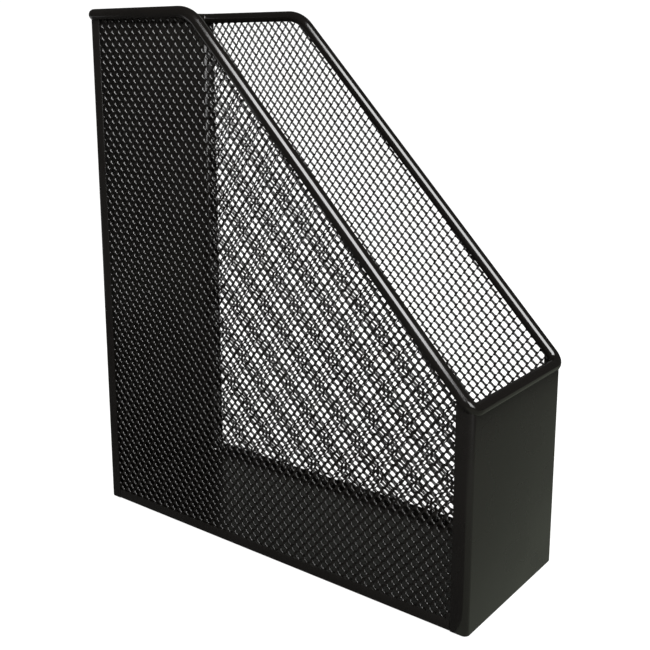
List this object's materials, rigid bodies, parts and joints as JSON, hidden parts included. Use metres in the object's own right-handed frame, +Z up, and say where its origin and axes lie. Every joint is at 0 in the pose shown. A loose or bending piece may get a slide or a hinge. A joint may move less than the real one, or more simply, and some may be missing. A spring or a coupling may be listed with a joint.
{
  "type": "magazine file holder",
  "caption": "Open-topped upright magazine file with a sloping top edge: expanded-metal sides, sheet-metal front, back and tray, and a round rolled rim, all painted black.",
  "frame": {"origin": "on the desk, under the centre of the object's bounding box", "axes": "+Z up; +X across the width, from the left side to the right side as seen by someone who faces the low front; +Y from the low front to the tall back"},
  "size_m": [0.102, 0.2696, 0.311],
  "materials": {
    "powder_coated_steel": "satin",
    "powder_coated_expanded_metal": "satin",
    "foot_rubber": "matte"
  },
  "bodies": {
    "root": {"rim": "powder_coated_steel", "front_panel": "powder_coated_steel", "back_panel": "powder_coated_steel", "bottom_tray": "powder_coated_steel", "left_side_mesh": "powder_coated_expanded_metal", "right_side_mesh": "powder_coated_expanded_metal", "foot_front_left": "foot_rubber", "foot_front_right": "foot_rubber", "foot_back_left": "foot_rubber", "foot_back_right": "foot_rubber"}
  },
  "joints": []
}
